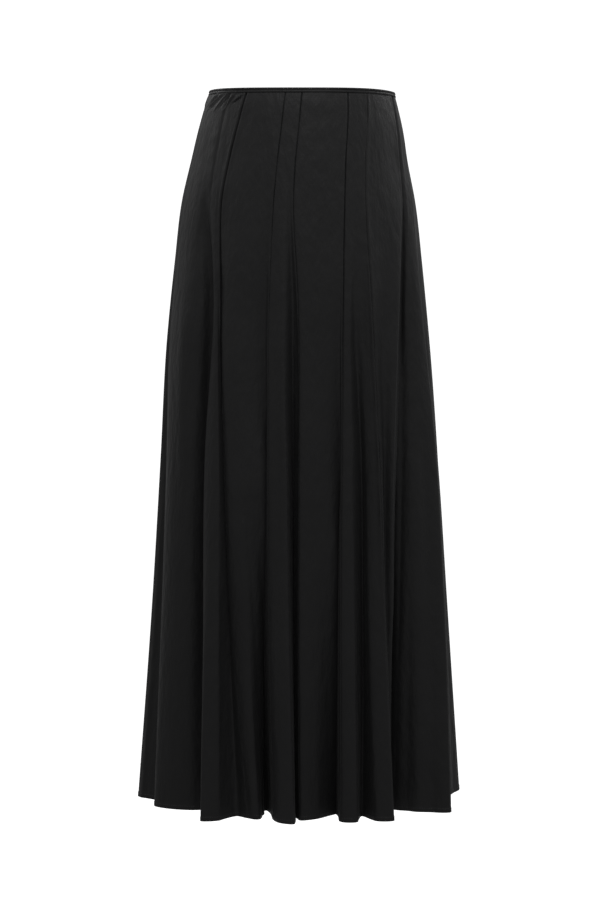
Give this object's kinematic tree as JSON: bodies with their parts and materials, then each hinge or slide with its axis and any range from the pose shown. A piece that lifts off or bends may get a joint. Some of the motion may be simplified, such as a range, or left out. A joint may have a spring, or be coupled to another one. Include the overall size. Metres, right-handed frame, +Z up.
{
  "type": "flared skirt",
  "caption": "Long flared skirt, hollow as worn: narrow waist binding over alternating wide and narrow gores that fall in deep soft folds.",
  "frame": {"origin": "middle of the waist opening at its side edge, where the wearer's waist holds the skirt", "axes": "+Z up the wearer's body; -Y to the wearer's front; +X to the viewer's right as seen from the front"},
  "size_m": [0.4305, 0.3286, 0.93],
  "materials": {
    "skirt_cloth": "smooth black satin-backed crepe with a dull sheen",
    "binding_cloth": "the same black cloth, folded over the waist edge and stitched"
  },
  "bodies": {
    "root": {"waist_binding": "binding_cloth", "gore_wide_1": "skirt_cloth", "gore_wide_2": "skirt_cloth", "gore_wide_3": "skirt_cloth", "gore_wide_4": "skirt_cloth", "gore_wide_5": "skirt_cloth", "gore_wide_6": "skirt_cloth", "gore_wide_7": "skirt_cloth", "gore_wide_8": "skirt_cloth", "gore_narrow_1": "skirt_cloth", "gore_narrow_2": "skirt_cloth", "gore_narrow_3": "skirt_cloth", "gore_narrow_4": "skirt_cloth", "gore_narrow_5": "skirt_cloth", "gore_narrow_6": "skirt_cloth", "gore_narrow_7": "skirt_cloth", "gore_narrow_8": "skirt_cloth"}
  },
  "joints": []
}
